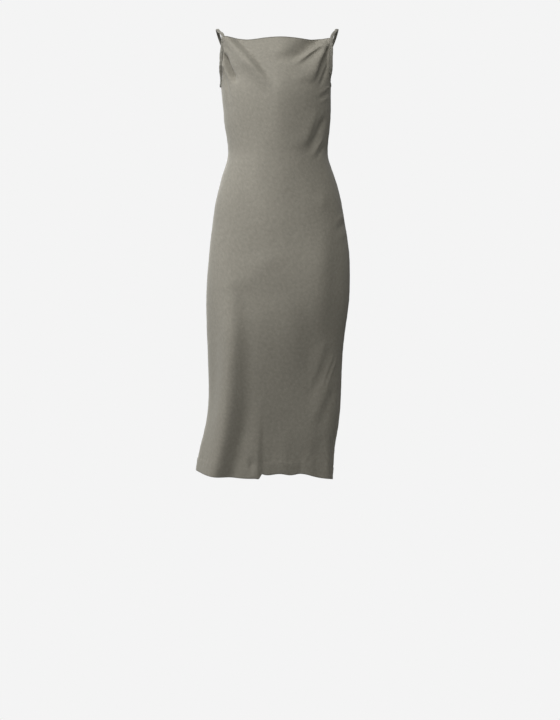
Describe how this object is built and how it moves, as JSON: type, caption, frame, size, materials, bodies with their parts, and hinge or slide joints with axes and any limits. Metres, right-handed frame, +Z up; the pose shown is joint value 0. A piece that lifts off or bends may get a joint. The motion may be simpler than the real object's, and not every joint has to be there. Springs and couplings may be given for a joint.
{
  "type": "slip midi dress with thin straps",
  "caption": "Worn midi slip dress with thin shoulder straps, a straight draped neckline and a swinging skirt, cut on the bias and left hollow as if on a figure",
  "frame": {"origin": "midway between the crests of the two straps, where they lie on the wearer's shoulders", "axes": "+Z up along the wearer, front of the dress faces -Y, the wearer's left side is at +X"},
  "size_m": [0.3763, 0.2503, 1.1033],
  "materials": {
    "cloth": "grey-green bias-cut satin with a soft low sheen",
    "strap": "the same satin, folded into a narrow stitched bias strip"
  },
  "bodies": {
    "root": {"front_panel": "cloth", "back_panel": "cloth", "strap_right": "strap", "strap_left": "strap"}
  },
  "joints": []
}
